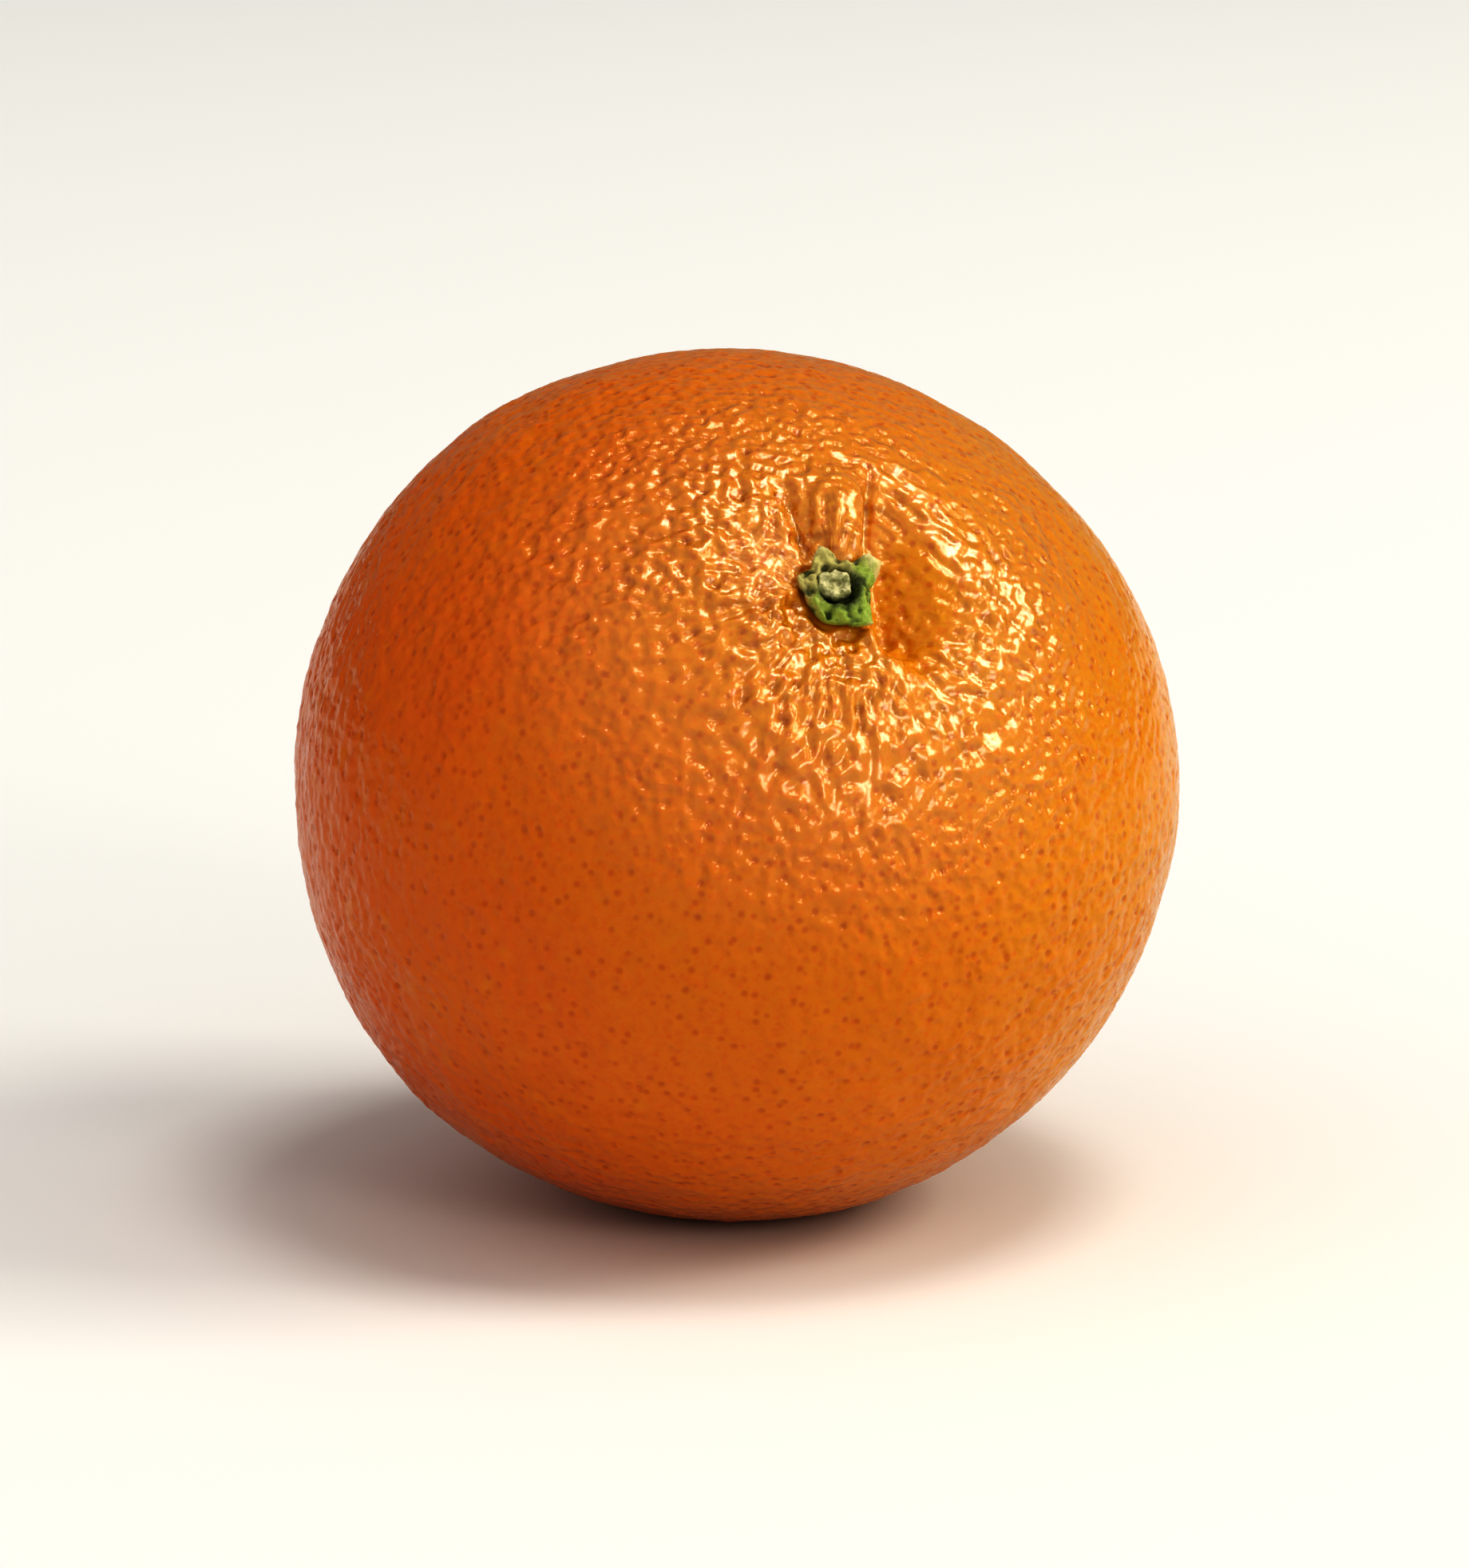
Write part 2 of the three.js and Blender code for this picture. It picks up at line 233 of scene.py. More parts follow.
class Bench:
    """Adds nodes to one tree. Each method gives back the output to wire on."""

    def __init__(self, tree):
        self.tree = tree

    def node(self, kind, **settings):
        made = self.tree.nodes.new(kind)
        for key, value in settings.items():
            setattr(made, key, value)
        return made

    def feed(self, socket, value):
        if isinstance(value, bpy.types.NodeSocket):
            self.tree.links.new(value, socket)
        else:
            socket.default_value = value

    def math(self, operation, *values):
        made = self.node("ShaderNodeMath", operation=operation)
        for socket, value in zip(made.inputs, values):
            self.feed(socket, value)
        return made.outputs[0]

    def vector(self, operation, *values):
        """Wires vector arithmetic, and gives back a vector or a number, whichever it makes."""
        made = self.node("ShaderNodeVectorMath", operation=operation)
        for socket, value in zip(made.inputs, values):
            self.feed(socket, value)
        return made.outputs["Value" if operation in ("DOT_PRODUCT", "LENGTH", "DISTANCE") else "Vector"]

    def scaled(self, vector, factor):
        made = self.node("ShaderNodeVectorMath", operation="SCALE")
        self.feed(made.inputs[0], vector)
        self.feed(made.inputs["Scale"], factor)
        return made.outputs[0]

    def combine(self, x, y, z):
        made = self.node("ShaderNodeCombineXYZ")
        for socket, value in zip(made.inputs, (x, y, z)):
            self.feed(socket, value)
        return made.outputs[0]

    def climb(self, value, low, high, bottom=0.0, top=1.0):
        """Goes smoothly from bottom to top while the value goes from low to high."""
        made = self.node("ShaderNodeMapRange", interpolation_type="SMOOTHSTEP")
        for name, given in (("Value", value), ("From Min", low), ("From Max", high),
                            ("To Min", bottom), ("To Max", top)):
            self.feed(made.inputs[name], given)
        return made.outputs["Result"]

    def noise(self, position, grain, detail=2.0, roughness=0.5):
        """Noise around 0.5 whose lumps are about grain across."""
        made = self.node("ShaderNodeTexNoise")
        self.feed(made.inputs["Vector"], position)
        self.feed(made.inputs["Scale"], 1 / grain)
        self.feed(made.inputs["Detail"], detail)
        self.feed(made.inputs["Roughness"], roughness)
        return made.outputs[0]

    def cells(self, position, spacing):
        """Distance to the nearest of scattered points, in spacings."""
        made = self.node("ShaderNodeTexVoronoi", feature="F1")
        self.feed(made.inputs["Vector"], position)
        self.feed(made.inputs["Scale"], 1 / spacing)
        return made.outputs["Distance"]

    def bump(self, height, distance):
        """A normal roughened by a height, whose unit stands for a distance in metres."""
        made = self.node("ShaderNodeBump")
        self.feed(made.inputs["Distance"], distance)
        self.feed(made.inputs["Height"], height)
        return made.outputs[0]

    def colour_mix(self, share, under, over):
        made = self.node("ShaderNodeMix", data_type="RGBA")
        self.feed(made.inputs["Factor"], share)
        self.feed(made.inputs[MIX_COLOUR_A], under)
        self.feed(made.inputs[MIX_COLOUR_B], over)
        return made.outputs[MIX_COLOUR_RESULT]


def new_group(name, tree_type, inputs, outputs):
    """An empty node group with named sockets, its bench, its inputs, and the node that takes its outputs."""
    group = bpy.data.node_groups.new(name, tree_type)
    for socket_name, kind in inputs:
        group.interface.new_socket(socket_name, in_out="INPUT", socket_type=kind)
    for socket_name, kind in outputs:
        group.interface.new_socket(socket_name, in_out="OUTPUT", socket_type=kind)
    bench = Bench(group)
    return group, bench, bench.node("NodeGroupInput").outputs, bench.node("NodeGroupOutput").inputs


# ---------------------------------------------------------------------------------------------------
# The peel's relief. Heights and lengths are in millimetres.
#
# A STRETCH says from which distance from the stem axis to which something climbs or falls. A SECTOR says the
# same for the cosine of the angle to its bearing, and an EDGE for the spacings from a pit's middle. A TUBE is
# the girth and the stretch of the tube that a pattern is laid on.
# ---------------------------------------------------------------------------------------------------

PEBBLE_HEIGHT = 0.68
PEBBLE_SHARE = 0.88  # size of the pebbles, as a share of the spacing of the pits
PEBBLE_DETAIL = 0.3
PIT_DEPTH = 0.20
PIT_EDGE = (0.08, 0.55)
WANDER_GRAIN = 1.3  # size of the shifts that keep the pits from being too even, in spacings
WANDER_REACH = 0.6  # how strong the shifts are, in spacings

EVEN_SPACING = 1.15
OUTWARD_SPACING = 1.1
OUTWARD_TUBE = (12.5, 0.62)
ROUND_SPACING = 1.0
ROUND_TUBE = (5.0, 1.0)
OUTWARD_STRETCH = (14.0, 27.0)
OUTWARD_START_STRETCH = (6.0, 10.0)
OUTWARD_BEARING = -90
OUTWARD_SECTOR = (0.0, 0.6)
ROUND_STRETCH = (14.0, 24.0)
ROUND_MOST = 0.8
ROUND_BEARING = 50
ROUND_SECTOR = (0.55, 0.95)

COARSE_STRETCH = (7.0, 38.0)
COARSE_NEAR = 1.35
COARSE_FAR = 0.38
PATCH_GRAIN = 14.0
PATCH_CONTRAST = (0.3, 0.7)
PATCH_RANGE = (0.75, 1.15)

SMOOTH_STRETCH = (9.0, 12.5)
SMOOTH_SECTOR = (0.45, 0.85)
SMOOTH_GRAIN = 0.5  # share of the grain that is left on the wide side of the basin
SMOOTH_PITS = 0.4
CALM_STRETCH = (16.0, 24.0)
CALM_BEARING = 45
CALM_SECTOR = (0.3, 0.8)
CALM_GRAIN = 0.5

PORE_SPACING = 1.3
PORE_EDGE = (0.08, 0.36)
PORE_DEPTH = 0.09

SWELL_GRAIN = 7.0
SWELL_HEIGHT = 0.5
WRINKLE_STRETCH = (6.0, 15.0)
WRINKLE_TUBE = (8.0, 0.35)
WRINKLE_GRAIN = 1.1
WRINKLE_HEIGHT = 1.2
WRINKLE_BEARING = 150
WRINKLE_SECTOR = (-0.1, 0.6)
KNUCKLE_STRETCH = (8.0, 13.0)
KNUCKLE_GRAIN = 1.8
KNUCKLE_HEIGHT = 1.6
KNUCKLE_BEARING = -95
KNUCKLE_SECTOR = (0.1, 0.6)
BARE_STRETCH = (2.5, 4.5)  # the skin under the calyx is plain

PAINTED_HIGHLIGHT_MIDDLE = (-6.0, 2.0, 0.0)  # across, back
PAINTED_HIGHLIGHT_EXTENT = (1.5, 5.5)  # from its middle, where the painted highlight starts to fade and where it ends
WAX_STRETCH = (16.0, 36.0)
SMOOTH_WAX = 0.25
GOLDEN_STRETCH = (5.0, 28.0)
GOLDEN_MOST = 0.75


def skin_grain(bench, position, spacing):
    """Pits of the oil glands and the pebbling between them: height in millimetres, and the pits' mask."""
    wander = bench.node("ShaderNodeTexNoise")
    bench.feed(wander.inputs["Vector"], position)
    bench.feed(wander.inputs["Scale"], 1 / (WANDER_GRAIN * spacing))
    offset = bench.vector("SUBTRACT", wander.outputs["Color"], (0.5, 0.5, 0.5))
    offset = bench.scaled(offset, WANDER_REACH * spacing)
    reach = bench.cells(bench.vector("ADD", position, offset), spacing)
    pit = bench.climb(reach, *PIT_EDGE, 1.0, 0.0)
    pebbles = bench.math("SUBTRACT", bench.noise(position, PEBBLE_SHARE * spacing, PEBBLE_DETAIL), 0.5)
    height = bench.math("MULTIPLY_ADD", pebbles, PEBBLE_HEIGHT, bench.math("MULTIPLY", pit, -PIT_DEPTH))
    return height, pit


def float_mix(bench, share, under, over):
    """Goes from one number to another as the share goes from 0 to 1."""
    return bench.math("MULTIPLY_ADD", share, bench.math("SUBTRACT", over, under), under)


def peel_relief(tree_type):
    """The peel's grain. Position is from the fruit's middle in millimetres; Height is in millimetres, and the
    masks go from 0 to 1."""
    group, bench, given, put = new_group(
        "peel relief", tree_type,
        (("Position", "NodeSocketVector"),),
        [(name, "NodeSocketFloat") for name in ("Height", "Pit", "Painted Highlight", "Pore", "Wax", "Golden")],
    )
    position = given["Position"]
    across = bench.vector("DOT_PRODUCT", position, tuple(ACROSS))
    back = bench.vector("DOT_PRODUCT", position, tuple(BACK))
    along = bench.vector("DOT_PRODUCT", position, tuple(STEM_AXIS))
    size = bench.vector("LENGTH", position)
    tilt = bench.math("ARCCOSINE", bench.math("DIVIDE", along, size))
    distance = bench.math("MULTIPLY", tilt, POLAR_RADIUS)
    bearing = bench.math("ARCTAN2", back, across)
    cosine = bench.math("COSINE", bearing)
    sine = bench.math("SINE", bearing)

    def on_tube(girth, stretch):
        """The position laid on a tube round the stem axis, which draws a pattern out along or round it."""
        return bench.combine(bench.math("MULTIPLY", cosine, girth), bench.math("MULTIPLY", sine, girth),
                             bench.math("MULTIPLY", distance, stretch))

    def towards(degrees, sector):
        """1 on the side of the stem that a bearing names, 0 on the other."""
        turn = bench.math("SUBTRACT", bearing, math.radians(degrees))
        return bench.climb(bench.math("COSINE", turn), *sector)

    # The grain is coarse round the stem end and fine towards the blossom end, with patches of each.
    patches = bench.noise(position, PATCH_GRAIN, 1.0)
    coarse = bench.climb(distance, *COARSE_STRETCH, COARSE_NEAR, COARSE_FAR)
    coarse = bench.math("MULTIPLY", coarse, bench.climb(patches, *PATCH_CONTRAST, *PATCH_RANGE))

    # Even all over, drawn out away from the stem in front of it, and drawn out round it behind.
    even, even_pit = skin_grain(bench, position, EVEN_SPACING)
    outward, outward_pit = skin_grain(bench, on_tube(*OUTWARD_TUBE), OUTWARD_SPACING)
    round_it, round_pit = skin_grain(bench, on_tube(*ROUND_TUBE), ROUND_SPACING)
    outward_near = bench.climb(distance, *OUTWARD_STRETCH, 1.0, 0.0)
    outward_share = bench.math("MULTIPLY", outward_near, towards(OUTWARD_BEARING, OUTWARD_SECTOR))
    outward_share = bench.math("MULTIPLY", outward_share, bench.climb(distance, *OUTWARD_START_STRETCH))
    round_near = bench.climb(distance, *ROUND_STRETCH, ROUND_MOST, 0.0)
    round_share = bench.math("MULTIPLY", round_near, towards(ROUND_BEARING, ROUND_SECTOR))
    grain = float_mix(bench, round_share, float_mix(bench, outward_share, even, outward), round_it)
    pit = float_mix(bench, round_share, float_mix(bench, outward_share, even_pit, outward_pit), round_pit)

    # The wide side of the basin is smooth.
    smooth_near = bench.climb(distance, *SMOOTH_STRETCH, 1.0, 0.0)
    smooth = bench.math("MULTIPLY", towards(0, SMOOTH_SECTOR), smooth_near)
    coarse = bench.math("MULTIPLY", coarse, bench.climb(smooth, 0.0, 1.0, 1.0, SMOOTH_GRAIN))

    # Behind it, past the basin, the skin is calmer.
    calm = bench.math("MULTIPLY", towards(CALM_BEARING, CALM_SECTOR), bench.climb(distance, *CALM_STRETCH))
    coarse = bench.math("MULTIPLY", coarse, bench.climb(calm, 0.0, 1.0, 1.0, CALM_GRAIN))

    # Pores stand apart from each other all over the skin.
    pores = bench.climb(bench.cells(position, PORE_SPACING), *PORE_EDGE, 1.0, 0.0)

    # Broad unevenness of the whole skin.
    swells = bench.math("SUBTRACT", bench.noise(position, SWELL_GRAIN, 1.0), 0.5)

    # Wrinkles run out from the calyx on its narrow side, and knuckles lie in front of it.
    wrinkle_near = bench.climb(distance, *WRINKLE_STRETCH, 1.0, 0.0)
    wrinkles = bench.math("SUBTRACT", bench.noise(on_tube(*WRINKLE_TUBE), WRINKLE_GRAIN, 2.0), 0.5)
    wrinkles = bench.math("MULTIPLY", wrinkles, wrinkle_near)
    wrinkles = bench.math("MULTIPLY", wrinkles, towards(WRINKLE_BEARING, WRINKLE_SECTOR))
    knuckle_near = bench.climb(distance, *KNUCKLE_STRETCH, 1.0, 0.0)
    knuckle_place = bench.math("MULTIPLY", knuckle_near, towards(KNUCKLE_BEARING, KNUCKLE_SECTOR))
    knuckles = bench.math("SUBTRACT", bench.noise(position, KNUCKLE_GRAIN, 1.0), 0.5)
    knuckles = bench.math("MULTIPLY", knuckles, knuckle_place)

    total = bench.math("MULTIPLY", grain, coarse)
    for part, height in (
        (pores, -PORE_DEPTH),
        (swells, SWELL_HEIGHT),
        (wrinkles, WRINKLE_HEIGHT),
        (knuckles, KNUCKLE_HEIGHT),
    ):
        total = bench.math("MULTIPLY_ADD", part, height, total)
    bench.feed(put["Height"], bench.math("MULTIPLY", total, bench.climb(distance, *BARE_STRETCH)))
    bench.feed(put["Pit"], bench.math("MULTIPLY", pit, bench.climb(smooth, 0.0, 1.0, 1.0, SMOOTH_PITS)))
    bench.feed(put["Pore"], pores)

    # Painted highlight: the skin is painted paler on the narrow side of the basin, whose wall faces the
    # light.
    place_across = bench.math("MULTIPLY", distance, cosine)
    place_back = bench.math("MULTIPLY", distance, sine)
    place = bench.combine(place_across, place_back, 0.0)
    from_painted_highlight = bench.vector("DISTANCE", place, bench.combine(*PAINTED_HIGHLIGHT_MIDDLE))
    bench.feed(put["Painted Highlight"], bench.climb(from_painted_highlight, *PAINTED_HIGHLIGHT_EXTENT, 1.0, 0.0))

    # It shines most, and is most golden, round the stem end.
    wax = bench.climb(distance, *WAX_STRETCH, 1.0, 0.0)
    bench.feed(put["Wax"], bench.math("MULTIPLY", wax, bench.climb(smooth, 0.0, 1.0, 1.0, SMOOTH_WAX)))
    bench.feed(put["Golden"], bench.climb(distance, *GOLDEN_STRETCH, GOLDEN_MOST, 0.0))
    return group


# ---------------------------------------------------------------------------------------------------
# The fruit
# ---------------------------------------------------------------------------------------------------

FACES_PER_SIDE = 128
CROWDING = 0.3  # how much the mesh crowds towards the stem end


def mesh_points(mesh):
    points = np.empty(len(mesh.vertices) * 3)
    mesh.vertices.foreach_get("co", points)
    return points.reshape(-1, 3)


def set_mesh_points(mesh, points):
    mesh.vertices.foreach_set("co", np.ascontiguousarray(points).ravel())
    mesh.update()


def round_body():
    """A cube cut into an even grid and pushed out to the shape of the peel, in millimetres."""
    shape = bmesh.new()
    bmesh.ops.create_cube(shape, size=2)
    bmesh.ops.subdivide_edges(shape, edges=shape.edges[:], cuts=FACES_PER_SIDE - 1, use_grid_fill=True)
    mesh = bpy.data.meshes.new("fruit_peel")
    shape.to_mesh(mesh)
    shape.free()
    even = np.tan(mesh_points(mesh) * math.pi / 4)
    even /= np.linalg.norm(even, axis=1)[:, None]
    even_tilt = np.arccos(np.clip(even[:, 2], -1, 1))
    tilt = even_tilt - CROWDING * np.sin(even_tilt)
    bearing = np.arctan2(even[:, 1], even[:, 0])
    distance = tilt * POLAR_RADIUS
    set_mesh_points(mesh, over_peel(distance * np.cos(bearing), distance * np.sin(bearing), 0 * tilt))
    return mesh


def keep_place(mesh, name, places):
    """Notes a place for each point, for the material to lay its pattern by."""
    noted = mesh.attributes.new(name, "FLOAT_VECTOR", "POINT")
    noted.data.foreach_set("vector", np.ascontiguousarray(places).ravel())


def raise_grain(fruit):
    """Moves each point along its normal by the relief's height, for good."""
    tree, bench, given, put = new_group(
        "raise grain", "GeometryNodeTree",
        (("Geometry", "NodeSocketGeometry"),), (("Geometry", "NodeSocketGeometry"),),
    )
    relief = bench.node("GeometryNodeGroup", node_tree=peel_relief("GeometryNodeTree"))
    bench.feed(relief.inputs["Position"], bench.node("GeometryNodeInputPosition").outputs[0])
    move = bench.node("GeometryNodeSetPosition")
    bench.feed(move.inputs["Geometry"], given["Geometry"])
    offset = bench.scaled(bench.node("GeometryNodeInputNormal").outputs[0], relief.outputs["Height"])
    bench.feed(move.inputs["Offset"], offset)
    bench.feed(put["Geometry"], move.outputs[0])
    fruit.modifiers.new("grain", "NODES").node_group = tree
    depsgraph = bpy.context.evaluated_depsgraph_get()
    grained = bpy.data.meshes.new_from_object(fruit.evaluated_get(depsgraph))
    fruit.modifiers.clear()
    fruit.data = grained


def new_piece(name, mesh):
    piece = bpy.data.objects.new(name, mesh)
    bpy.context.scene.collection.objects.link(piece)
    for face in mesh.polygons:
        face.use_smooth = True
    return piece


fruit_mesh = round_body()
body_points = mesh_points(fruit_mesh)
keep_place(fruit_mesh, "body_position", body_points)
fruit = new_piece("orange_fruit", fruit_mesh)
raise_grain(fruit)

# Its place: the middle of its box over the middle of the solid model's, its flat spot on the surface.
box_low, box_high = (np.array(corner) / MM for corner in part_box("fruit"))
middle = (box_low + box_high) / 2 - (body_points.min(axis=0) + body_points.max(axis=0)) / 2
middle[2] = box_low[2] + rest_depth


def place(mesh):
    """Takes a mesh from millimetres about the fruit's middle to metres in the frame."""
    set_mesh_points(mesh, (mesh_points(mesh) + middle) * MM)


place(fruit.data)
standing = mesh_points(fruit.data)
standing[:, 2] = np.maximum(standing[:, 2], box_low[2] * MM)
set_mesh_points(fruit.data, standing)

# ---------------------------------------------------------------------------------------------------
# Calyx and stem stub
# ---------------------------------------------------------------------------------------------------


def disc_ball(name, around, rings):
    """A closed ball to be flattened into a disc: across the disc is X and Y, its two faces are by Z."""
    shape = bmesh.new()
    bmesh.ops.create_uvsphere(shape, u_segments=around, v_segments=rings, radius=1)
    mesh = bpy.data.meshes.new(name)
    shape.to_mesh(mesh)
    shape.free()
    return mesh


def degrees_off(bearing, tip_bearing):
    """How many degrees bearings lie to either side of a sepal's tip."""
    return np.degrees(np.abs(np.angle(np.exp(1j * (bearing - math.radians(tip_bearing))))))


def calyx_reach(bearing):
    """How far the calyx reaches out from the stem axis."""
    reach = np.full_like(bearing, CALYX_NOTCH_RADIUS)
    for tip_bearing, length, _ in SEPALS:
        taper = np.clip(1 - degrees_off(bearing, tip_bearing) / SEPAL_HALF_ANGLE, 0, 1)
        reach = np.maximum(reach, CALYX_NOTCH_RADIUS + length * taper)
    return reach


def calyx_lift(bearing):
    """How far the rim of the calyx curls up off the peel."""
    lift = np.full_like(bearing, LEAST_CURL)
    for tip_bearing, _, tip_lift in SEPALS:
        share = bell(degrees_off(bearing, tip_bearing) / SEPAL_CURL_HALF_ANGLE)
        lift = np.maximum(lift, tip_lift * share)
    return lift


def grown_noise(points, grain, seed):
    """Smooth noise from -1 to 1, one number a point."""
    shift = Vector((seed * 7.3, seed * 3.1, seed * 5.7))
    return np.array([noise.noise(Vector(point) / grain + shift) for point in points])


def rounded_off(heights, roundness):
    """The heights of a ball's points, filled out so that its rim is squarer."""
    return np.sign(heights) * np.abs(heights) ** roundness


def upper_share(heights):
    """1 on the upper face of a disc, 0 on the lower one."""
    return np.clip(heights / UPPER_FACE_START, 0, 1)


UPPER_FACE_START = 0.3

RIB_COUNT = 11
RIB_WANDER = 2.5
RIB_WANDER_GRAIN = 2.0
RIB_STRETCH = (1.8, 2.6)  # the ribs start over this stretch of distance from the stem axis
RIB_HEIGHT = 0.15
LUMP_GRAIN = 1.1
LUMP_HEIGHT = 0.50
GRIT_GRAIN = 0.45
GRIT_HEIGHT = 0.30

calyx_mesh = disc_ball("calyx_button", 150, 60)
ball = mesh_points(calyx_mesh)
bearing = np.arctan2(ball[:, 1], ball[:, 0])
distance = np.hypot(ball[:, 0], ball[:, 1]) * calyx_reach(bearing)
across = distance * np.cos(bearing)
back = distance * np.sin(bearing)
thickness = CALYX_RIM + (CALYX_THICKNESS - CALYX_RIM) * (
    1 - rise(distance, CALYX_CROWN_RADIUS, CALYX_THIN_RADIUS)
)
fullness = rounded_off(ball[:, 2], CALYX_RIM_ROUNDNESS)
height = CALYX_CLEARANCE + thickness / 2 * (1 + fullness)
height += calyx_lift(bearing) * rise(distance, SEPAL_CURL_START, SEPAL_CURL_FULL)
upper = upper_share(ball[:, 2])
from_hollow = np.hypot(across - HOLLOW_MIDDLE[0], back - HOLLOW_MIDDLE[1])
hollow = 1 - rise(from_hollow, HOLLOW_FLOOR_RADIUS, HOLLOW_RADIUS)
height -= upper * HOLLOW_DEPTH * hollow
flat = np.stack((across, back, height), axis=1)
rib_turn = bearing * RIB_COUNT + RIB_WANDER * grown_noise(flat, RIB_WANDER_GRAIN, 3)
ribs = np.sin(rib_turn) * rise(distance, *RIB_STRETCH)
rumple = RIB_HEIGHT * ribs
rumple = rumple + LUMP_HEIGHT * grown_noise(flat, LUMP_GRAIN, 1)
rumple = rumple + GRIT_HEIGHT * grown_noise(flat, GRIT_GRAIN, 2)
height += upper * rumple
set_mesh_points(calyx_mesh, over_peel(across, back, height))
keep_place(calyx_mesh, "calyx_place", np.stack((across, back, rumple), axis=1))
place(calyx_mesh)
calyx = new_piece("calyx_button", calyx_mesh)

STUB_OUTLINE_GRAIN = 0.5  # as a share of the stub's radius
STUB_LUMP_GRAIN = 0.6
STUB_LUMP_HEIGHT = 0.35
STUB_GRIT_GRAIN = 0.25
STUB_GRIT_HEIGHT = 0.15

stub_mesh = disc_ball("stem_end", 64, 32)
ball = mesh_points(stub_mesh)
share = np.hypot(ball[:, 0], ball[:, 1])
fullness = rounded_off(ball[:, 2], STUB_RIM_ROUNDNESS)
outline = np.stack((ball[:, 0], ball[:, 1], 0 * share), axis=1)
ragged = 1 + STUB_RAGGEDNESS * grown_noise(outline, STUB_OUTLINE_GRAIN, 7)
across = STUB_ACROSS + STUB_RADIUS * ball[:, 0] * ragged
back = STUB_BACK + STUB_RADIUS * ball[:, 1] * ragged
height = STUB_FOOT + STUB_HEIGHT / 2 * (1 + fullness)
upper = upper_share(ball[:, 2])
height -= upper * STUB_DIMPLE * bell(share / STUB_DIMPLE_SHARE)
flat = np.stack((across, back, height), axis=1)
lumps = STUB_LUMP_HEIGHT * grown_noise(flat, STUB_LUMP_GRAIN, 5)
grit = STUB_GRIT_HEIGHT * grown_noise(flat, STUB_GRIT_GRAIN, 6)
height += upper * (lumps + grit)
set_mesh_points(stub_mesh, over_peel(across, back, height))
place(stub_mesh)
stem_end = new_piece("stem_end", stub_mesh)

# ---------------------------------------------------------------------------------------------------
# Materials
# ---------------------------------------------------------------------------------------------------


def new_material(name):
    material = bpy.data.materials.new(name)
    material.use_nodes = True
    bench = Bench(material.node_tree)
    return material, bench, material.node_tree.nodes["Principled BSDF"]


def peel_material():
    material, bench, surface = new_material("orange_peel")
    position = bench.node("ShaderNodeAttribute", attribute_name="body_position").outputs["Vector"]
    relief = bench.node("ShaderNodeGroup", node_tree=peel_relief("ShaderNodeTree"))
    bench.feed(relief.inputs["Position"], position)

    orange = (0.62, 0.205, 0.002, 1)
    deep = (0.62, 0.122, 0.001, 1)
    golden = (0.62, 0.285, 0.003, 1)
    pit_colour = (0.50, 0.105, 0.0005, 1)
    pore_colour = (0.46, 0.082, 0.0005, 1)
    # The pale colour below is a painted highlight.
    painted_highlight = (0.80, 0.42, 0.16, 1)
    patches = bench.noise(position, 16.0, 2.0)
    # Painted shade and light: the peel is painted redder towards its left and bottom, where it is in shade,
    # and more golden towards its right and top, where the light falls. The noise patches mixed in are the
    # peel's own uneven tone.
    painted_shade_side = bench.vector("DOT_PRODUCT", position, (-0.018, 0.004, -0.006))
    patches_and_painted_shade = bench.math("MULTIPLY_ADD", bench.math("SUBTRACT", patches, 0.5), 0.6, painted_shade_side)
    colour = bench.colour_mix(bench.climb(patches_and_painted_shade, -0.2, 0.9), orange, deep)
    colour = bench.colour_mix(bench.climb(patches_and_painted_shade, -0.9, 0.0, 1.0, 0.0), colour, golden)
    colour = bench.colour_mix(relief.outputs["Golden"], colour, golden)
    mottle = bench.noise(position, 2.2, 3.0, 0.6)
    colour = bench.colour_mix(bench.climb(mottle, 0.5, 0.8, 0.0, 0.35), colour, golden)
    # Painted highlight: the pale patch beside the calyx.
    colour = bench.colour_mix(bench.math("MULTIPLY", relief.outputs["Painted Highlight"], 0.4), colour, painted_highlight)
    colour = bench.colour_mix(bench.math("MULTIPLY", relief.outputs["Pit"], 0.15), colour, pit_colour)
    colour = bench.colour_mix(bench.math("MULTIPLY", relief.outputs["Pore"], 0.5), colour, pore_colour)
    speckle = bench.noise(position, 0.55, 2.0, 0.6)
    colour = bench.colour_mix(bench.climb(speckle, 0.45, 0.75, 0.0, 0.4), colour, deep)
    bench.feed(surface.inputs["Base Color"], colour)
    roughness = bench.climb(mottle, 0.3, 0.7, 0.18, 0.25)
    bench.feed(surface.inputs["Roughness"], roughness)

    fine = bench.math("MULTIPLY", bench.noise(position, 0.3, 1.0), 0.03)
    height = bench.math("ADD", relief.outputs["Height"], fine)
    bench.feed(surface.inputs["Normal"], bench.bump(height, 0.6 * MM))
    surface.inputs["Specular IOR Level"].default_value = 0.7
    surface.inputs["Specular Tint"].default_value = (1.0, 0.88, 0.68, 1)
    bench.feed(surface.inputs["Coat Weight"], relief.outputs["Wax"])
    surface.inputs["Coat Roughness"].default_value = 0.20
    surface.inputs["Coat IOR"].default_value = 1.68
    surface.inputs["Subsurface Weight"].default_value = 0.5
    surface.inputs["Subsurface Radius"].default_value = (1.0, 0.5, 0.2)
    surface.inputs["Subsurface Scale"].default_value = 1.3 * MM
    return material


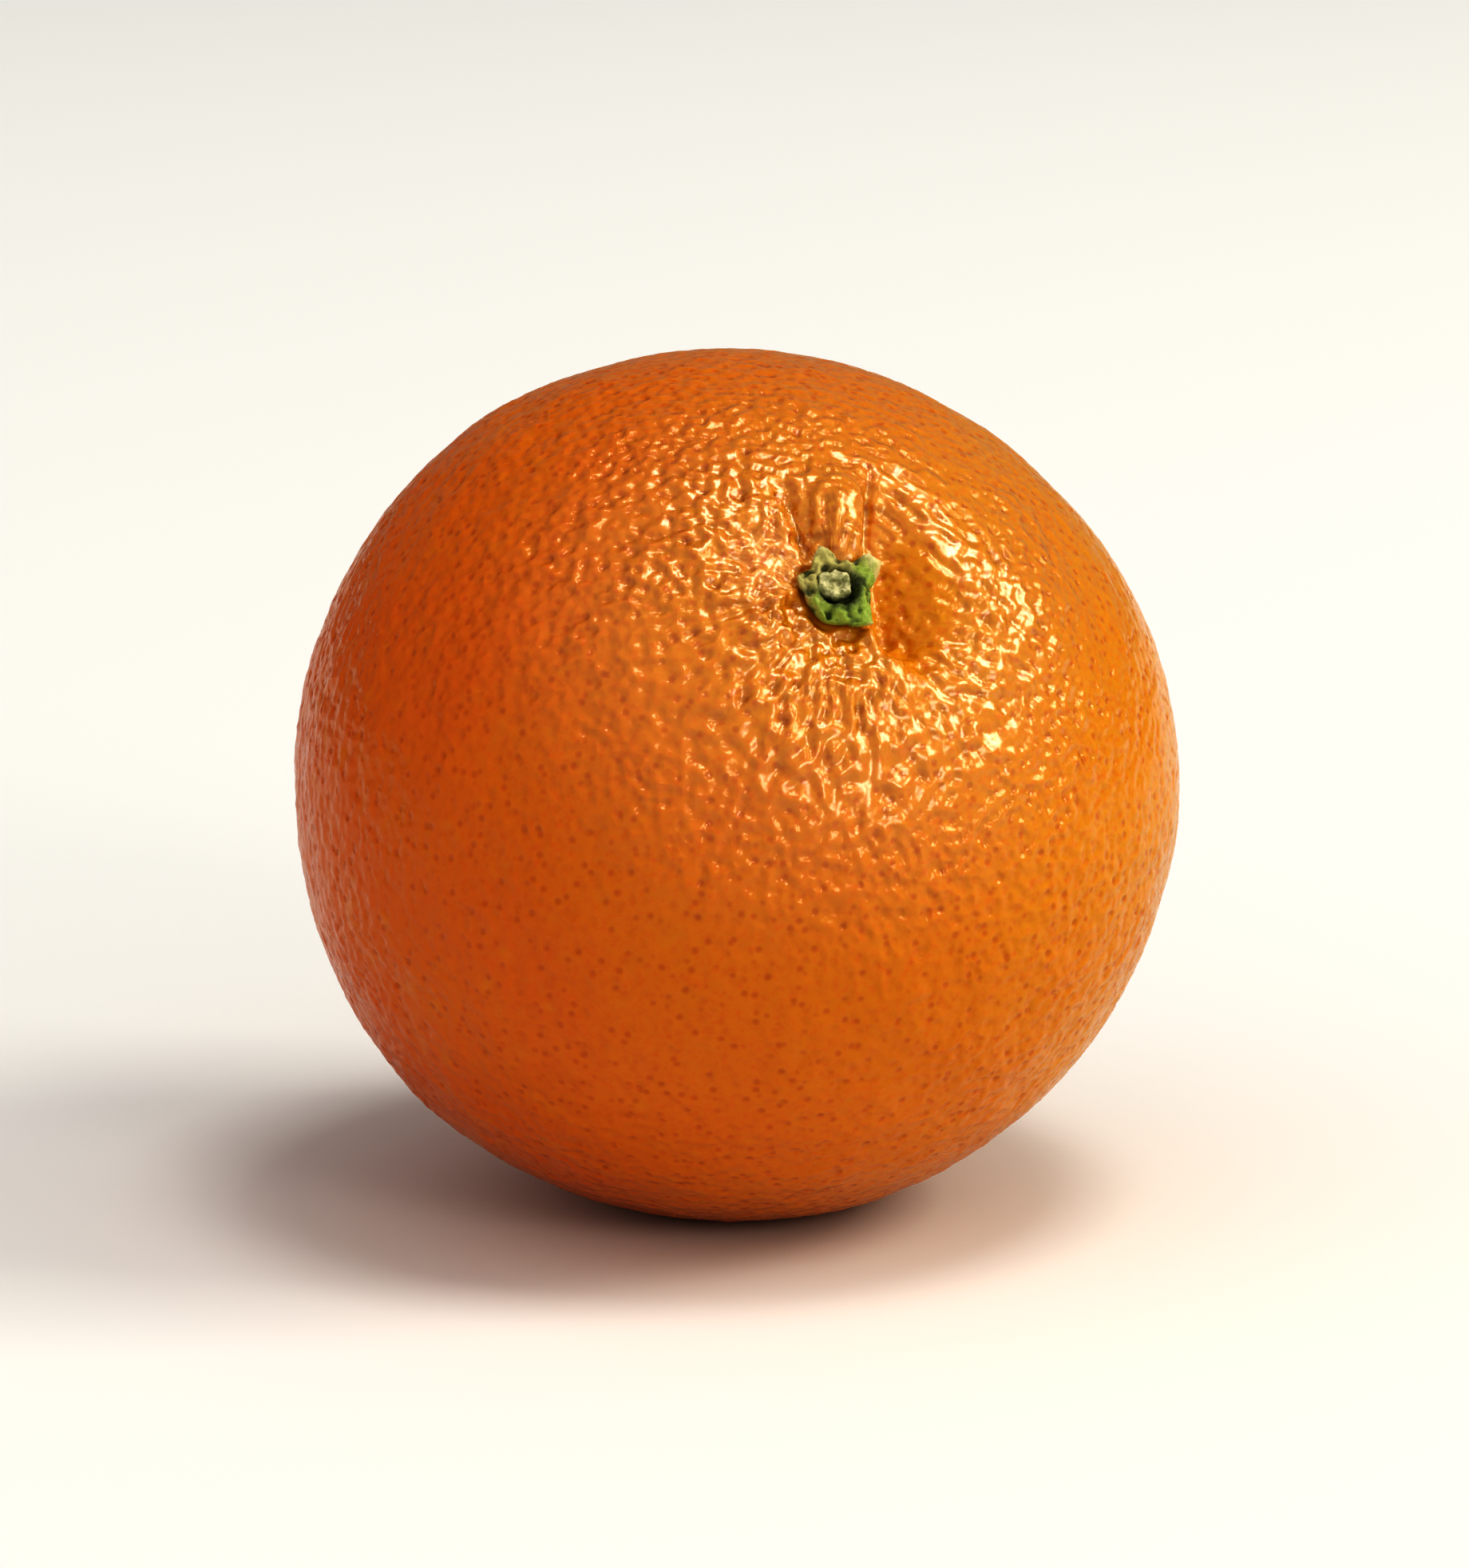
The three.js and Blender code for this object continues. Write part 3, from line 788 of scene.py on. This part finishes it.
def calyx_material():
    material, bench, surface = new_material("calyx_green")
    place = bench.node("ShaderNodeAttribute", attribute_name="calyx_place").outputs["Vector"]
    across_only = bench.vector("MULTIPLY", place, (1, 1, 0))
    from_middle = bench.vector("LENGTH", across_only)
    green = (0.33, 0.43, 0.10, 1)
    olive = (0.50, 0.46, 0.20, 1)
    # The dark colour serves both the calyx's own dark spots and painted shade.
    dark_spots_and_painted_shade = (0.035, 0.045, 0.015, 1)
    straw_and_painted_highlight = (0.80, 0.70, 0.42, 1)
    blotches = bench.noise(place, 1.6, 3.0, 0.6)
    # The calyx is more olive towards its upper left, and in blotches.
    towards_upper_left = bench.vector("DOT_PRODUCT", place, (-0.10, 0.10, 0.0))
    blotches_and_upper_left_tint = bench.math("ADD", blotches, towards_upper_left)
    colour = bench.colour_mix(bench.climb(blotches_and_upper_left_tint, 0.35, 0.75), green, olive)
    # Painted shade: the calyx is painted dark in its hollow round the stub.
    painted_hollow_shade = bench.climb(bench.math("MULTIPLY_ADD", blotches, 1.2, from_middle), 2.3, 3.1, 0.85, 0.0)
    colour = bench.colour_mix(painted_hollow_shade, colour, dark_spots_and_painted_shade)
    specks = bench.noise(place, 0.5, 3.0, 0.6)
    rumple = bench.vector("DOT_PRODUCT", place, (0, 0, 1))
    # Painted shade: dark in the low creases of the rumpled top.
    colour = bench.colour_mix(bench.climb(rumple, -0.35, 0.08, 0.85, 0.0), colour, dark_spots_and_painted_shade)
    colour = bench.colour_mix(bench.climb(specks, 0.56, 0.72, 0.0, 0.4), colour, dark_spots_and_painted_shade)
    # The sepal tips are dry and straw-coloured, and their rims also carry a painted highlight.
    ends = bench.climb(bench.math("MULTIPLY_ADD", specks, 1.5, from_middle), 4.4, 5.4, 0.0, 0.7)
    colour = bench.colour_mix(ends, colour, straw_and_painted_highlight)
    bench.feed(surface.inputs["Base Color"], colour)
    bench.feed(surface.inputs["Roughness"], bench.climb(specks, 0.3, 0.7, 0.45, 0.7))
    grit = bench.noise(place, 0.35, 3.0, 0.6)
    bench.feed(surface.inputs["Normal"], bench.bump(grit, 0.2 * MM))
    return material


def cork_material():
    material, bench, surface = new_material("stem_cork")
    position = bench.scaled(bench.node("ShaderNodeTexCoord").outputs["Object"], 1 / MM)
    blotches = bench.noise(position, 0.7, 3.0, 0.6)
    cork = (0.66, 0.63, 0.40, 1)
    bark = (0.25, 0.25, 0.12, 1)
    colour = bench.colour_mix(bench.climb(blotches, 0.35, 0.65), cork, bark)
    bench.feed(surface.inputs["Base Color"], colour)
    surface.inputs["Roughness"].default_value = 0.8
    grit = bench.noise(position, 0.2, 3.0, 0.6)
    bench.feed(surface.inputs["Normal"], bench.bump(grit, 0.15 * MM))
    return material


fruit.data.materials.clear()
fruit.data.materials.append(peel_material())
calyx.data.materials.append(calyx_material())
stem_end.data.materials.append(cork_material())

for piece, node, slot in (
    (fruit, "fruit", "peel"),
    (calyx, "calyx", "calyx_green"),
    (stem_end, "stem_stub", "stem_cork"),
):
    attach(piece, "root")
    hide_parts(node)

# ---------------------------------------------------------------------------------------------------
# Floor, light and camera
# ---------------------------------------------------------------------------------------------------

fruit_width = (box_high[0] - box_low[0]) * MM
fruit_middle = Vector(middle * MM)

FLOOR_REACH = 60  # half the floor's width, in widths of the fruit

floor_shape = bmesh.new()
bmesh.ops.create_grid(floor_shape, x_segments=1, y_segments=1, size=FLOOR_REACH * fruit_width)
floor_mesh = bpy.data.meshes.new("floor")
floor_shape.to_mesh(floor_mesh)
floor_shape.free()
floor = bpy.data.objects.new("floor", floor_mesh)
bpy.context.scene.collection.objects.link(floor)
floor_material, floor_bench, floor_surface = new_material("floor_white")
floor_surface.inputs["Base Color"].default_value = (0.78, 0.80, 0.85, 1)
floor_surface.inputs["Roughness"].default_value = 0.9
floor_mesh.materials.append(floor_material)


LIGHT_DISTANCE = 4.0


def soft_light(name, towards, size, power, colour):
    """A square area light that shines on the fruit from a direction."""
    data = bpy.data.lights.new(name, "AREA")
    data.size = size
    data.energy = power
    data.color = colour
    light = bpy.data.objects.new(name, data)
    away = Vector(towards).normalized()
    light.location = fruit_middle + away * LIGHT_DISTANCE
    light.rotation_euler = away.to_track_quat("Z", "Y").to_euler()
    bpy.context.scene.collection.objects.link(light)


soft_light("key_light", (0.78, -0.06, 0.60), 1.6, 44, (1.0, 0.95, 0.80))
soft_light("front_light", (0.52, -0.76, 0.38), 1.0, 16, (1.0, 0.95, 0.80))
soft_light("top_light", (0.20, -0.094, 0.944), 1.2, 31, (1.0, 0.96, 0.85))

# The studio is bright in front and dark behind.
STUDIO_FRONT_STRENGTH = 0.52
STUDIO_BACK_STRENGTH = 0.24
world = bpy.data.worlds.new("studio")
world.use_nodes = True
world_bench = Bench(world.node_tree)
backwards_share = world_bench.vector(
    "DOT_PRODUCT", world_bench.node("ShaderNodeTexCoord").outputs["Generated"], (0.0, 1.0, 0.0)
)
background = world.node_tree.nodes["Background"]
background.inputs["Color"].default_value = (1.0, 0.96, 0.88, 1)
strength = world_bench.climb(backwards_share, -0.3, 0.5, STUDIO_FRONT_STRENGTH, STUDIO_BACK_STRENGTH)
world_bench.feed(background.inputs["Strength"], strength)
bpy.context.scene.world = world
bpy.context.scene.view_settings.view_transform = "Standard"
bpy.context.scene.view_settings.look = "Very High Contrast"
bpy.context.scene.view_settings.gamma = 0.85

CAMERA_DISTANCE = 12.76 * EQUATOR_RADIUS * MM
CAMERA_ELEVATION = math.radians(12.75)
FRUIT_SHARE_OF_WIDTH = 0.60
IMAGE_HEIGHT_PER_WIDTH = 1964 / 1840
camera_data = bpy.data.cameras.new("camera")
view_height = fruit_width / FRUIT_SHARE_OF_WIDTH * IMAGE_HEIGHT_PER_WIDTH
camera_data.lens = camera_data.sensor_width * CAMERA_DISTANCE / view_height
camera = bpy.data.objects.new("camera", camera_data)
backwards = Vector((0, -math.cos(CAMERA_ELEVATION), math.sin(CAMERA_ELEVATION)))
camera.location = fruit_middle + backwards * CAMERA_DISTANCE
camera.rotation_euler = backwards.to_track_quat("Z", "Y").to_euler()
camera_data.clip_start = 0.01
bpy.context.scene.collection.objects.link(camera)
bpy.context.scene.camera = camera
